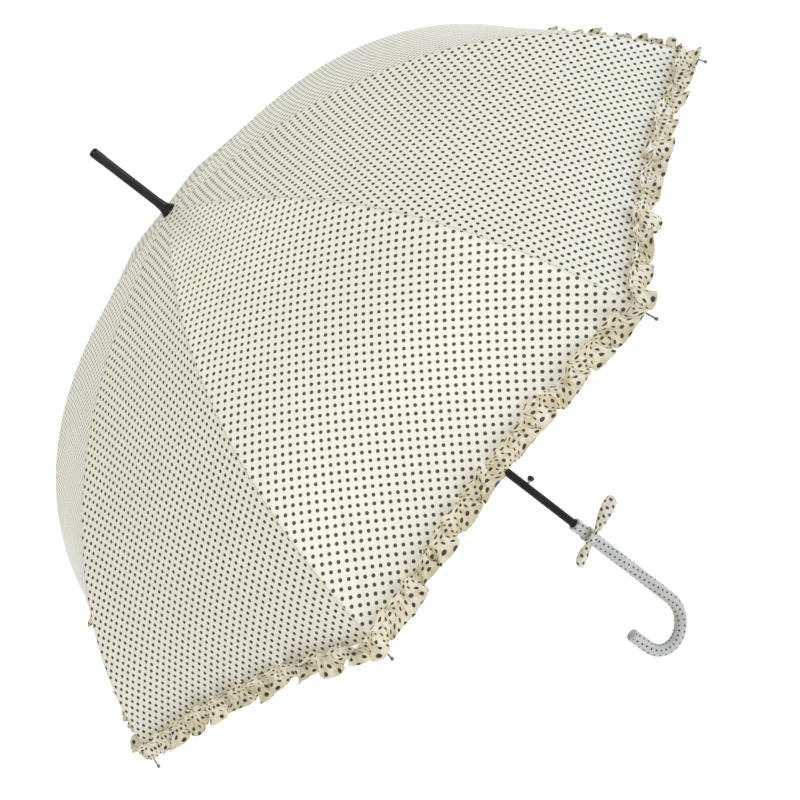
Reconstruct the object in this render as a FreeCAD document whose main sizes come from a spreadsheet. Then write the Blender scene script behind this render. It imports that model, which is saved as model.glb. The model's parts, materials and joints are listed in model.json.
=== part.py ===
"""Stick umbrella with an eight-rib domed canopy, a ruffled hem and a hooked handle.

Origin: the middle of the hand's grip, on the shaft's axis. +Z runs up the shaft to the ferrule,
the hook curls towards -X, and both catches face +X. Rib 1 points along +X, and the others follow
every 45 degrees. The umbrella is drawn open. Sizes are in millimetres and degrees.
"""

import FreeCAD, Part
import math
import os

import Sketcher
from FreeCAD import Placement, Rotation, Vector

X_AXIS = Vector(1, 0, 0)
Y_AXIS = Vector(0, 1, 0)
Z_AXIS = Vector(0, 0, 1)

SIZES = {
    # shaft and ferrule
    "shaft_radius": 4.9,
    "shaft_bore": 4.1,
    "shaft_foot": 30,
    "fit_radius": 4.95,
    "fit_gap": 0.05,
    "cut_margin": 1,
    "shaft_top": 722,
    "ferrule_base": 700.8,
    "ferrule_base_radius": 8.4,
    "ferrule_rim": 0.9,
    "ferrule_flare_low": 2.8,
    "ferrule_flare_low_radius": 6.9,
    "ferrule_flare_high": 6.5,
    "ferrule_flare_high_radius": 5.8,
    "ferrule_neck": 716,
    "ferrule_radius": 5.0,
    "ferrule_top": 786,
    "stud_radius": 2.4,
    "stud_length": 9,
    "stud_hole_end": 1,
    "ferrule_floor": 0.5,
    "tip_radius": 5.3,
    "tip_end": 801,
    "tip_round": 3.4,
    "cap_radius": 9,
    "cap_height": 1.2,
    "cap_taper": 0.6,
    "cap_gap": 0.2,
    # crown: the top notch, and the runner's matching crown
    "rib_count": 8,
    "pivot_radius": 8.5,
    "pivot_height": 696,
    "crown_radius": 11,
    "crown_above": 2.6,
    "crown_below": 5.5,
    "crown_slot_width": 3.6,
    "crown_slot_start": 6.3,
    "ring_wire": 0.55,
    "ring_groove": 0.65,
    # ribs
    "rib_length": 585,
    "rib_start_angle": 6,
    "rib_turn": 62.5,
    "rib_turn_power": 1.5,
    "rib_width": 3.0,
    "rib_depth": 2.4,
    "rib_wall": 0.5,
    "rib_end_gap": 7,
    "rib_heel": 1.2,
    "rib_groove_start": 6,
    "rib_eye_clearance": 3.5,
    "rib_eye_radius": 2.0,
    "rib_eye_hole": 0.8,
    "rib_eye_width": 1.6,
    "lug_place": 245,
    "lug_drop": 3.4,
    "lug_width": 1.2,
    "lug_radius": 1.9,
    "pin_radius": 0.6,
    "pin_hole": 0.65,
    "tip_socket_radius": 1.4,
    "tip_socket_length": 7,
    "tip_socket_taper": 0.6,
    "tip_socket_gap": 0.05,
    "tip_wire_radius": 0.9,
    "tip_reach": 13,
    "tip_ball_radius": 1.8,
    # stretchers
    "stretcher_width": 3.1,
    "stretcher_depth": 2.2,
    "stretcher_web": 0.5,
    "stretcher_groove": 1.5,
    "stretcher_eye_radius": 1.9,
    "stretcher_eye_hole": 0.7,
    "stretcher_eye_width": 1.6,
    "eye_length": 6,
    "eye_solid": 2,
    "fork_length": 6,
    "fold_angle": 58,
    # runner
    "runner_bore": 5.0,
    "runner_neck": 7.7,
    "runner_flange": 9,
    "runner_flange_height": 4,
    "runner_lip": 1.5,
    "runner_crown_extra": 2.2,
    "runner_slot_below": 2.5,
    "runner_crown_below": 4.5,
    "runner_taper": 3,
    "runner_flange_taper": 2,
    "keyway_radius": 7.0,
    "keyway_overlap": 1.5,
    "keyway_width": 3.0,
    "latch_gap": 0.25,
    # catches and button
    "catch_thickness": 1.6,
    "catch_reach": 6.6,
    "catch_foot": 1.6,
    "catch_foot_below": 2.6,
    "catch_foot_above": 3,
    "catch_bend_outer": 10,
    "catch_bend_inner": 12,
    "catch_strip": 2,
    "catch_lip": 1.2,
    "catch_hook": 188,
    "catch_pin_below": 40.5,
    "catch_nose": 7.5,
    "top_catch_pin_below": 30,
    "top_catch_slope": 9,
    "top_catch_face": 2.5,
    "rivet_radius": 1.0,
    "rivet_hole": 1.05,
    "rivet_gap": 0.01,
    "slot_width": 4.5,
    "slot_margin": 1.5,
    "button_height": 169.5,
    "button_seat": 2.4,
    "button_stem": 1.9,
    "button_head_start": 8.5,
    "button_head_foot": 2.9,
    "button_head_radius": 4.4,
    "button_head_rim": 12.3,
    "button_round_height": 1,
    "button_round_radius": 4.0,
    "button_crown_radius": 2.6,
    "button_head_end": 14.5,
    # handle
    "handle_top": 90,
    "hook_start": -77.5,
    "hook_radius": 34,
    "hook_leg": 28,
    "core_radius": 7.6,
    "cover_inner": 7.65,
    "cover_radius": 8.0,
    "cover_wall": 0.4,
    "bush_radius": 5.6,
    "bush_depth": 6,
    "bush_above": 2.4,
    "bush_chamfer": 0.4,
    # bow
    "bow_height": 66,
    "bow_angle": -108,
    "bow_tilt": 10.6,
    "band_inner": 8.1,
    "band_radius": 9.0,
    "band_height": 9,
    "knot_radius": 13.8,
    "knot_depth": 4.6,
    "knot_length": 7,
    "knot_width": 6,
    "loop_gap": 0.3,
    "right_loop_length": 50,
    "left_loop_length": 38,
    "loop_width": 16,
    "loop_depth": 5,
    # canopy and ruffle
    "canopy_start": 5,
    "canopy_lift": 2.1,
    "canopy_thickness": 0.6,
    "canopy_gap": 0.15,
    "hem_inset": 12,
    "ruffle_above": 20,
    "ruffle_below": 8,
    "ruffle_lift": 3.1,
    "ruffle_thickness": 4,
}

doc = FreeCAD.newDocument("umbrella")
dims = doc.addObject("Spreadsheet::Sheet", "dims")
sheet_rows = []
parts = []


def add_size(alias, value):
    """One row of the sheet: its name in column A, the plain number in column B."""
    row = len(sheet_rows) + 1
    sheet_rows.append(alias)
    dims.set("A%d" % row, alias)
    dims.set("B%d" % row, repr(value))
    dims.setAlias("B%d" % row, alias)


def size(alias):
    return float(dims.get(alias))


# ---------------------------------------------------------------- the rib's curve


def rib_angle(place):
    """The rib's slope below level, in radians, at a length along it from its pivot."""
    share = max(place, 0) / size("rib_length")
    return math.radians(size("rib_start_angle") + size("rib_turn") * share ** size("rib_turn_power"))


def rib_point(place, lift=0.0):
    """A point in the XZ plane at a length along the rib, and a height above its middle line."""
    steps = max(1, math.ceil(abs(place) / 5))
    step = place / steps
    across = size("pivot_radius")
    height = size("pivot_height")
    for number in range(steps):
        slope = rib_angle((number + 0.5) * step)
        across += step * math.cos(slope)
        height -= step * math.sin(slope)
    slope = rib_angle(place)
    return Vector(across + lift * math.sin(slope), 0, height + lift * math.cos(slope))


def rib_places(first, last, spans):
    return [first + (last - first) * number / spans for number in range(spans + 1)]


def rib_edge(lift, first, last, spans=16):
    curve = Part.BSplineCurve()
    curve.interpolate([rib_point(place, lift) for place in rib_places(first, last, spans)])
    return curve.toShape()


def rib_band(low, high, first, last, width):
    """A strip along the rib between two heights, as wide as given, centred on the rib's plane."""
    bottom = rib_edge(low, first, last)
    top = rib_edge(high, first, last)
    start = Part.makeLine(bottom.firstVertex().Point, top.firstVertex().Point)
    end = Part.makeLine(bottom.lastVertex().Point, top.lastVertex().Point)
    face = Part.Face(Part.Wire(Part.__sortEdges__([bottom, end, top, start])))
    face.translate(Vector(0, -width / 2, 0))
    return face.extrude(Vector(0, width, 0))


def across_rib(radius, width, centre):
    """A short rod across the rib's plane."""
    return Part.makeCylinder(radius, width, centre - Vector(0, width / 2, 0), Y_AXIS)


# ---------------------------------------------------------------- document helpers


def origin_plane(body, role):
    for feature in body.Origin.OriginFeatures:
        if feature.Role == role:
            return feature
    raise ValueError("no origin feature " + role)


def new_body(label):
    body = doc.addObject("PartDesign::Body", label)
    body.Label = label
    parts.append(body)
    return body


def new_sketch(body, role, height=None):
    """A sketch on one of the body's origin planes, lifted off it by an expression if one is given."""
    sketch = body.newObject("Sketcher::SketchObject", body.Name + "_sketch")
    sketch.AttachmentSupport = (origin_plane(body, role), [""])
    sketch.MapMode = "FlatFace"
    if height:
        sketch.setExpression(".AttachmentOffset.Base.z", height)
    return sketch


def value_of(expression):
    return float(dims.evalExpression(expression))


def place_point(sketch, shape, end, x, y):
    """Hold one point of a sketch at two expressions, or on an axis where an expression is 0."""
    for axis, expression, kind in ((-2, x, "DistanceX"), (-1, y, "DistanceY")):
        if expression == "0":
            sketch.addConstraint(Sketcher.Constraint("PointOnObject", shape, end, axis))
            continue
        value = value_of(expression)
        index = sketch.addConstraint(Sketcher.Constraint(kind, -1, 1, shape, end, value))
        name = "%s_%d_%d" % (kind, shape, end)
        sketch.renameConstraint(index, name)
        sketch.setExpression("Constraints." + name, expression)


def draw_outline(sketch, corners):
    """A closed outline of straight lines whose corners are pairs of expressions."""
    points = [Vector(value_of(x), value_of(y), 0) for x, y in corners]
    first = sketch.GeometryCount
    count = len(points)
    for number in range(count):
        line = Part.LineSegment(points[number], points[(number + 1) % count])
        sketch.addGeometry(line, False)
    for number in range(count):
        after = first + (number + 1) % count
        sketch.addConstraint(Sketcher.Constraint("Coincident", first + number, 2, after, 1))
    for number, (x, y) in enumerate(corners):
        place_point(sketch, first + number, 1, x, y)


def draw_circle(sketch, x, y, radius):
    centre = Vector(value_of(x), value_of(y), 0)
    shape = sketch.addGeometry(Part.Circle(centre, Z_AXIS, value_of(radius)), False)
    place_point(sketch, shape, 3, x, y)
    index = sketch.addConstraint(Sketcher.Constraint("Radius", shape, value_of(radius)))
    name = "radius_%d" % shape
    sketch.renameConstraint(index, name)
    sketch.setExpression("Constraints." + name, radius)


def draw_box(sketch, left, right, low, high):
    draw_outline(sketch, [(left, low), (right, low), (right, high), (left, high)])


def turn(body, sketch, axis="V_Axis"):
    feature = body.newObject("PartDesign::Revolution", body.Name + "_turn")
    feature.Profile = sketch
    feature.ReferenceAxis = (sketch, [axis])
    feature.Angle = 360
    return feature


def turned(label, corners):
    """A piece turned about Z from an outline of (radius, height) corners."""
    body = new_body(label)
    sketch = new_sketch(body, "XZ_Plane")
    draw_outline(sketch, corners)
    turn(body, sketch)
    return body


def pad(body, sketch, length, both_sides=True):
    feature = body.newObject("PartDesign::Pad", body.Name + "_pad")
    feature.Profile = sketch
    if both_sides:
        feature.SideType = "Symmetric"
    feature.setExpression("Length", length)
    return feature


def pocket(body, sketch, length=None, both_sides=False, reverse=False):
    """Cut a sketch out of the body, to a length, or right through both ways with none."""
    before = solid_volume(body)
    feature = body.newObject("PartDesign::Pocket", body.Name + "_cut")
    feature.Profile = sketch
    feature.Reversed = reverse
    if length is None:
        feature.SideType = "Symmetric"
        feature.Type = "ThroughAll"
    else:
        feature.Type = "Length"
        feature.setExpression("Length", length)
        if both_sides:
            feature.SideType = "Symmetric"
    doc.recompute()
    if not feature.Shape.Volume < before - 1e-3:
        raise RuntimeError(body.Label + ": a pocket cuts nothing")
    return feature


def solid_volume(body):
    doc.recompute()
    return body.Shape.Volume


def repeat_round(body, feature):
    pattern = body.newObject("PartDesign::PolarPattern", body.Name + "_round")
    pattern.Originals = [feature]
    pattern.Axis = (origin_plane(body, "Z_Axis"), [""])
    pattern.Angle = 360
    pattern.setExpression("Occurrences", "dims.rib_count")
    body.Tip = pattern
    doc.recompute()
    return pattern


def shaped(label, shape, placement=None):
    """A sub-part whose shape comes straight from the rib's curve."""
    feature = doc.addObject("Part::Feature", label)
    feature.Label = label
    feature.Shape = shape
    if placement:
        feature.Placement = placement
    parts.append(feature)
    return feature


# ---------------------------------------------------------------- shaft and ferrule


def catch_slot(body, low, high):
    """A slot through the tube's +X wall, where a catch comes out."""
    sketch = new_sketch(body, "YZ_Plane")
    draw_box(sketch, "-dims.slot_width / 2", "dims.slot_width / 2", low, high)
    pocket(body, sketch, "dims.shaft_radius + dims.cut_margin", reverse=True)


def rivet_holes(body, heights, radius):
    sketch = new_sketch(body, "XZ_Plane")
    for height in heights:
        draw_circle(sketch, "0", height, radius)
    pocket(body, sketch)


def make_shaft():
    tube = turned(
        "shaft_tube",
        [
            ("dims.shaft_bore", "dims.shaft_foot"),
            ("dims.shaft_radius", "dims.shaft_foot"),
            ("dims.shaft_radius", "dims.shaft_top"),
            ("dims.shaft_bore", "dims.shaft_top"),
        ],
    )
    catch_slot(
        tube,
        "dims.button_height - dims.button_stem - dims.slot_margin",
        "dims.catch_hook + dims.catch_nose + dims.slot_margin",
    )
    catch_slot(
        tube,
        "dims.top_catch_height - dims.top_catch_pin_below / 2",
        "dims.top_catch_height + dims.slot_margin",
    )
    rivet_holes(tube, ["dims.lower_rivet_height", "dims.top_rivet_height"], "dims.rivet_radius")


def make_rivet(label, height):
    """The rivet that a catch swings on, through both walls of the tube."""
    rivet = new_body(label)
    sketch = new_sketch(rivet, "XZ_Plane")
    draw_circle(sketch, "0", height, "dims.rivet_radius - dims.rivet_gap")
    pad(rivet, sketch, "2 * dims.shaft_radius")


def make_ferrule():
    hole_end = "dims.ferrule_top - dims.stud_length - dims.stud_hole_end"
    turned(
        "ferrule",
        [
            ("dims.fit_radius", "dims.ferrule_base"),
            ("dims.ferrule_base_radius", "dims.ferrule_base"),
            ("dims.ferrule_base_radius", "dims.ferrule_base + dims.ferrule_rim"),
            ("dims.ferrule_flare_low_radius", "dims.ferrule_base + dims.ferrule_flare_low"),
            ("dims.ferrule_flare_high_radius", "dims.ferrule_base + dims.ferrule_flare_high"),
            ("dims.ferrule_radius", "dims.ferrule_neck"),
            ("dims.ferrule_radius", "dims.ferrule_top"),
            ("dims.stud_radius + dims.fit_gap", "dims.ferrule_top"),
            ("dims.stud_radius + dims.fit_gap", hole_end),
            ("0", hole_end),
            ("0", "dims.shaft_top + dims.ferrule_floor"),
            ("dims.fit_radius", "dims.shaft_top + dims.ferrule_floor"),
        ],
    )
    tip = turned(
        "ferrule_tip",
        [
            ("0", "dims.ferrule_top - dims.stud_length"),
            ("dims.stud_radius", "dims.ferrule_top - dims.stud_length"),
            ("dims.stud_radius", "dims.ferrule_top"),
            ("dims.tip_radius", "dims.ferrule_top"),
            ("dims.tip_radius", "dims.tip_end"),
            ("0", "dims.tip_end"),
        ],
    )
    doc.recompute()
    blank = tip.Tip
    rim = [
        "Edge%d" % (number + 1)
        for number, edge in enumerate(blank.Shape.Edges)
        if edge.BoundBox.ZMin > size("tip_end") - 0.01 and edge.BoundBox.XLength > size("tip_radius")
    ]
    rounding = tip.newObject("PartDesign::Fillet", "tip_rounding")
    rounding.Base = (blank, rim)
    rounding.setExpression("Radius", "dims.tip_round")


def make_canopy_cap():
    top = "dims.ferrule_base - dims.cap_gap"
    turned(
        "canopy_cap",
        [
            ("dims.fit_radius", top + " - dims.cap_height"),
            ("dims.cap_radius", top + " - dims.cap_height"),
            ("dims.cap_radius - dims.cap_taper", top),
            ("dims.fit_radius", top),
        ],
    )


# ---------------------------------------------------------------- crowns and their rings


def ring_groove(middle):
    """The corners of the groove that the wire ring lies in, from its top edge to its lower one."""
    floor = "dims.pivot_radius - dims.ring_groove"
    return [
        ("dims.crown_radius", middle + " + dims.ring_groove"),
        (floor, middle + " + dims.ring_groove"),
        (floor, middle + " - dims.ring_groove"),
        ("dims.crown_radius", middle + " - dims.ring_groove"),
    ]


def crown_slots(body, top, depth):
    sketch = new_sketch(body, "XY_Plane", top)
    half = "dims.crown_slot_width / 2"
    draw_box(sketch, "dims.crown_slot_start", "dims.crown_radius + dims.cut_margin", "-" + half, half)
    repeat_round(body, pocket(body, sketch, depth))


def wire_ring(label, height):
    ring = doc.addObject("Part::Torus", label)
    ring.Label = label
    ring.setExpression("Radius1", "dims.pivot_radius")
    ring.setExpression("Radius2", "dims.ring_wire")
    ring.setExpression("Placement.Base.z", height)
    parts.append(ring)


def make_top_notch():
    top = "dims.pivot_height + dims.crown_above"
    bottom = "dims.pivot_height - dims.crown_below"
    corners = [("dims.fit_radius", top), ("dims.crown_radius", top)]
    corners += ring_groove("dims.pivot_height")
    corners += [("dims.crown_radius", bottom), ("dims.fit_radius", bottom)]
    notch = turned("top_notch", corners)
    crown_slots(notch, top, "dims.crown_above + dims.crown_below + dims.cut_margin")
    wire_ring("notch_ring", "dims.pivot_height")


def make_runner():
    above = "dims.crown_above + dims.runner_crown_extra"
    top = "dims.runner_pivot + " + above
    shoulder = "dims.runner_pivot - dims.runner_crown_below"
    foot = "dims.runner_pivot - dims.runner_length"
    corners = [("dims.runner_bore", top), ("dims.crown_radius", top)]
    corners += ring_groove("dims.runner_pivot")
    corners += [
        ("dims.crown_radius", shoulder),
        ("dims.runner_neck", shoulder + " - dims.runner_taper"),
        ("dims.runner_neck", foot + " + dims.runner_flange_height + dims.runner_flange_taper"),
        ("dims.runner_flange", foot + " + dims.runner_flange_height"),
        ("dims.runner_flange", foot),
        ("dims.runner_bore", foot),
    ]
    runner = turned("runner", corners)
    crown_slots(runner, top, above + " + dims.runner_slot_below")
    sketch = new_sketch(runner, "XY_Plane", top)
    half = "dims.keyway_width / 2"
    draw_box(sketch, "dims.runner_bore - dims.keyway_overlap", "dims.keyway_radius", "-" + half, half)
    pocket(runner, sketch, above + " + dims.runner_length - dims.runner_lip")
    wire_ring("runner_ring", "dims.runner_pivot")


# ---------------------------------------------------------------- catches and button


def draw_catch(label, rivet, head):
    """A spring-steel strip that swings on its rivet inside the tube, with its own head at the top."""
    catch = new_body(label)
    sketch = new_sketch(catch, "XZ_Plane")
    back = "dims.button_seat - dims.catch_strip"
    corners = [
        ("-dims.catch_foot", rivet + " - dims.catch_foot_below"),
        ("dims.catch_foot", rivet + " - dims.catch_foot_below"),
        ("dims.button_seat", rivet + " + dims.catch_bend_outer"),
    ]
    corners += head
    corners += [
        (back, head[-1][1]),
        (back, rivet + " + dims.catch_bend_inner"),
        ("-dims.catch_foot", rivet + " + dims.catch_foot_above"),
    ]
    draw_outline(sketch, corners)
    draw_circle(sketch, "0", rivet, "dims.rivet_hole")
    pad(catch, sketch, "dims.catch_thickness")


def make_catches():
    """The lower catch's hook holds the closed runner's lip; the top one stands under the open runner."""
    draw_catch(
        "lower_catch",
        "dims.lower_rivet_height",
        [
            ("dims.button_seat", "dims.catch_hook"),
            ("dims.catch_reach", "dims.catch_hook"),
            ("dims.catch_reach", "dims.catch_hook + dims.catch_lip"),
            ("dims.button_seat", "dims.catch_hook + dims.catch_nose"),
        ],
    )
    draw_catch(
        "top_catch",
        "dims.top_rivet_height",
        [
            ("dims.button_seat", "dims.top_catch_height - dims.top_catch_slope"),
            ("dims.catch_reach", "dims.top_catch_height - dims.top_catch_face"),
            ("dims.catch_reach", "dims.top_catch_height"),
        ],
    )


def make_push_button():
    """A stem on the lower catch with a flared, round-topped head, turned about its own X axis."""
    button = new_body("push_button")
    sketch = new_sketch(button, "XZ_Plane")
    draw_outline(
        sketch,
        [
            ("dims.button_seat", "0"),
            ("dims.button_head_end", "0"),
            ("dims.button_head_end", "dims.button_crown_radius"),
            ("dims.button_head_rim + dims.button_round_height", "dims.button_round_radius"),
            ("dims.button_head_rim", "dims.button_head_radius"),
            ("dims.button_head_start", "dims.button_head_foot"),
            ("dims.button_head_start", "dims.button_stem"),
            ("dims.button_seat", "dims.button_stem"),
        ],
    )
    turn(button, sketch, "H_Axis")
    button.setExpression("Placement.Base.z", "dims.button_height")


# ---------------------------------------------------------------- handle


def hook_spine(body, start, leg):
    """The handle's middle line: down the axis, round the hook towards -X, and up the leg."""
    sketch = new_sketch(body, "XZ_Plane")
    top = Vector(0, value_of(start), 0)
    turn_in = Vector(0, size("hook_start"), 0)
    across = Vector(-2 * size("hook_radius"), size("hook_start"), 0)
    end = across + Vector(0, value_of(leg), 0)
    centre = Vector(-size("hook_radius"), size("hook_start"), 0)
    sketch.addGeometry(Part.LineSegment(top, turn_in), False)
    arc = Part.ArcOfCircle(Part.Circle(centre, Z_AXIS, size("hook_radius")), math.pi, 2 * math.pi)
    sketch.addGeometry(arc, False)
    sketch.addGeometry(Part.LineSegment(across, end), False)
    sketch.addConstraint(Sketcher.Constraint("Coincident", 0, 2, 1, 2))
    sketch.addConstraint(Sketcher.Constraint("Coincident", 1, 1, 2, 1))
    sketch.addConstraint(Sketcher.Constraint("Tangent", 0, 1))
    sketch.addConstraint(Sketcher.Constraint("Vertical", 2))
    place_point(sketch, 0, 1, "0", start)
    place_point(sketch, 0, 2, "0", "dims.hook_start")
    place_point(sketch, 1, 3, "-dims.hook_radius", "dims.hook_start")
    place_point(sketch, 2, 2, "-2 * dims.hook_radius", "dims.hook_start + " + leg)
    return sketch


def pipe(body, kind, start, radius, leg):
    profile = new_sketch(body, "XY_Plane", start)
    draw_circle(profile, "0", "0", radius)
    feature = body.newObject("PartDesign::" + kind, body.Name + "_pipe")
    feature.Profile = profile
    feature.Spine = (hook_spine(body, start, leg), [])
    doc.recompute()


def make_handle():
    core = new_body("handle_core")
    pipe(core, "AdditivePipe", "dims.handle_top", "dims.core_radius", "dims.hook_leg - dims.cover_wall")
    bore = new_sketch(core, "XY_Plane", "dims.handle_top")
    draw_circle(bore, "0", "0", "dims.fit_radius")
    pocket(core, bore, "dims.handle_top - dims.shaft_foot + dims.cut_margin")
    seat = new_sketch(core, "XY_Plane", "dims.handle_top")
    draw_circle(seat, "0", "0", "dims.bush_radius + dims.fit_gap")
    pocket(core, seat, "dims.bush_depth")
    cover = new_body("handle_cover")
    pipe(cover, "AdditivePipe", "dims.handle_top", "dims.cover_radius", "dims.hook_leg")
    before = solid_volume(cover)
    inner_leg = "dims.hook_leg - dims.cover_wall + dims.fit_gap"
    pipe(cover, "SubtractivePipe", "dims.handle_top", "dims.cover_inner", inner_leg)
    if not cover.Shape.Volume < before / 2:
        raise RuntimeError("handle_cover: its inside isn't hollow")
    bush_top = "dims.handle_top + dims.bush_above"
    turned(
        "handle_bush",
        [
            ("dims.fit_radius", "dims.handle_top - dims.bush_depth"),
            ("dims.bush_radius", "dims.handle_top - dims.bush_depth"),
            ("dims.bush_radius", bush_top),
            ("dims.bush_radius - dims.bush_chamfer", bush_top + " + dims.bush_chamfer"),
            ("dims.fit_radius", bush_top + " + dims.bush_chamfer"),
        ],
    )


def bow_placement(along, out):
    """A place on the tilted bow, measured across it and out from the shaft."""
    facing = Rotation(Z_AXIS, size("bow_angle")) * Rotation(X_AXIS, size("bow_tilt"))
    centre = facing.multVec(Vector(out, along, 0)) + Vector(0, 0, size("bow_height"))
    return Placement(centre, facing)


def bow_lump(label, out, along, half_depth, half_length, half_width):
    lump = doc.addObject("Part::Ellipsoid", label)
    lump.Label = label
    lump.setExpression("Radius1", half_width)
    lump.setExpression("Radius2", half_depth)
    lump.setExpression("Radius3", half_length)
    lump.Angle1 = -90
    lump.Angle2 = 90
    lump.Angle3 = 360
    lump.Placement = bow_placement(along, out)
    return lump


def make_bow():
    low = "dims.bow_height - dims.band_height / 2"
    high = "dims.bow_height + dims.band_height / 2"
    turned(
        "bow_band",
        [
            ("dims.band_inner", low),
            ("dims.band_radius", low),
            ("dims.band_radius", high),
            ("dims.band_inner", high),
        ],
    )
    knot = bow_lump(
        "bow_knot",
        size("knot_radius"),
        0,
        "dims.knot_depth",
        "dims.knot_width",
        "dims.knot_length",
    )
    parts.append(knot)
    loops = []
    for side, length in ((-1, "left_loop_length"), (1, "right_loop_length")):
        middle = size("knot_width") + size("loop_gap") + size(length) / 2
        loops.append(
            bow_lump(
                "bow_loop_shape",
                size("knot_radius"),
                side * middle,
                "dims.loop_depth / 2",
                "dims.%s / 2" % length,
                "dims.loop_width / 2",
            )
        )
    pair = doc.addObject("Part::Compound", "bow_loops")
    pair.Label = "bow_loops"
    pair.Links = loops
    parts.append(pair)


# ---------------------------------------------------------------- ribs, stretchers, canopy


def rib_facing(number):
    """The turn that carries rib 1's plane to another rib's."""
    return Placement(Vector(0, 0, 0), Rotation(Z_AXIS, 360 * number / size("rib_count")))


def rib_shape():
    """A channel open below, with an eye at its pivot and a lug under it for the stretcher."""
    half = size("rib_depth") / 2
    last = size("rib_length") - size("rib_end_gap")
    wall = size("rib_wall")
    margin = size("cut_margin")
    wide = 3 * size("rib_width")
    channel = rib_band(-half, half, size("rib_heel"), last, size("rib_width"))
    groove_start = size("rib_groove_start")
    groove = rib_band(-half - margin, half - wall, groove_start, last + margin, size("rib_width") - 2 * wall)
    eye = across_rib(size("rib_eye_radius"), size("rib_eye_width"), rib_point(0))
    eye_hole = across_rib(size("rib_eye_hole"), wide, rib_point(0))
    lug_place = size("lug_place")
    lug_pin = rib_point(lug_place, -size("lug_drop"))
    lug = across_rib(size("lug_radius"), size("lug_width"), lug_pin)
    reach = size("lug_radius")
    web = rib_band(
        -size("lug_drop"), half - wall / 2, lug_place - reach, lug_place + reach, size("lug_width")
    )
    pin_hole = across_rib(size("pin_hole"), wide, lug_pin)
    tall = 3 * half
    back = -groove_start
    clear = size("rib_eye_clearance")
    beside_eye = rib_band(-tall, tall, back, clear, wide).cut(
        rib_band(-tall - margin, tall + margin, back - margin, clear + margin, size("rib_eye_width"))
    )
    rib = channel.cut(groove).cut(beside_eye)
    return rib.fuse([eye, lug, web]).cut(eye_hole).cut(pin_hole).removeSplitter()


def make_rib_tip(number, label):
    """A socket on the rib's end and a thin wire with a ball, along the rib's last slope."""
    tip = turned(
        label,
        [
            ("0", "0"),
            ("dims.tip_socket_radius", "0"),
            ("dims.tip_socket_radius", "dims.tip_socket_length"),
            ("dims.tip_wire_radius", "dims.tip_socket_length + dims.tip_socket_taper"),
            ("dims.tip_wire_radius", "dims.rib_end_gap + dims.tip_reach - dims.tip_ball_radius"),
            ("dims.tip_ball_radius", "dims.rib_end_gap + dims.tip_reach - dims.tip_ball_radius / 2"),
            ("dims.tip_ball_radius", "dims.rib_end_gap + dims.tip_reach + dims.tip_ball_radius / 2"),
            ("dims.tip_wire_radius", "dims.rib_end_gap + dims.tip_reach + dims.tip_ball_radius"),
            ("0", "dims.rib_end_gap + dims.tip_reach + dims.tip_ball_radius"),
        ],
    )
    start = size("rib_length") - size("rib_end_gap")
    slope = math.degrees(rib_angle(start))
    along_rib = Placement(rib_point(start + size("tip_socket_gap")), Rotation(Y_AXIS, 90 + slope))
    tip.Placement = rib_facing(number) * along_rib


def make_stretcher(number, label):
    """A channel open below, from an eye at the runner to a pinned fork at the rib's lug."""
    body = new_body(label)
    half_depth = "dims.stretcher_depth / 2"
    side = new_sketch(body, "XZ_Plane")
    draw_box(side, "0", "dims.stretcher_length", "-" + half_depth, half_depth)
    pad(body, side, "dims.stretcher_width")
    for place in ("0", "dims.stretcher_length"):
        boss = new_sketch(body, "XZ_Plane")
        draw_circle(boss, place, "0", "dims.stretcher_eye_radius")
        pad(body, boss, "dims.stretcher_width")
    past_eye = "dims.stretcher_eye_radius + dims.cut_margin"
    far = "dims.stretcher_length + " + past_eye
    near = "-(" + past_eye + ")"
    half_groove = "dims.stretcher_groove / 2"
    groove = new_sketch(body, "XY_Plane", near)
    draw_box(groove, "dims.eye_length + dims.eye_solid", far, "-" + half_groove, half_groove)
    depth = past_eye + " + dims.stretcher_depth / 2 - dims.stretcher_web"
    pocket(body, groove, depth, reverse=True)
    fork = new_sketch(body, "XY_Plane")
    fork_start = "dims.stretcher_length - dims.fork_length"
    draw_box(fork, fork_start, far, "-" + half_groove, half_groove)
    pocket(body, fork)
    half_eye = "dims.stretcher_eye_width / 2"
    side_limit = "dims.stretcher_width"
    for low, high in ((half_eye, side_limit), ("-" + side_limit, "-" + half_eye)):
        cheek = new_sketch(body, "XY_Plane")
        draw_box(cheek, near, "dims.eye_length", low, high)
        pocket(body, cheek)
    eye = new_sketch(body, "XZ_Plane")
    draw_circle(eye, "0", "0", "dims.stretcher_eye_hole")
    pocket(body, eye)
    pin = new_sketch(body, "XZ_Plane")
    draw_circle(pin, "dims.stretcher_length", "0", "dims.pin_radius")
    pad(body, pin, "dims.stretcher_width")
    inner = Vector(size("pivot_radius"), 0, size("runner_pivot"))
    raised = Placement(inner, Rotation(Y_AXIS, -size("stretcher_rise")))
    body.Placement = rib_facing(number) * raised


def gore_point(place, lift, side):
    """A point on the fabric over a rib (side 0), or halfway to the next rib (side -1 or 1)."""
    if side == 0:
        return rib_point(place, lift)
    half_gore = math.pi / size("rib_count")
    rib = rib_point(place - size("hem_inset") * place / size("rib_length"), lift)
    radius = rib.x * math.cos(half_gore)
    sideways = radius * math.sin(half_gore) - size("canopy_gap")
    return Vector(radius * math.cos(half_gore), side * sideways, rib.z)


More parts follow.
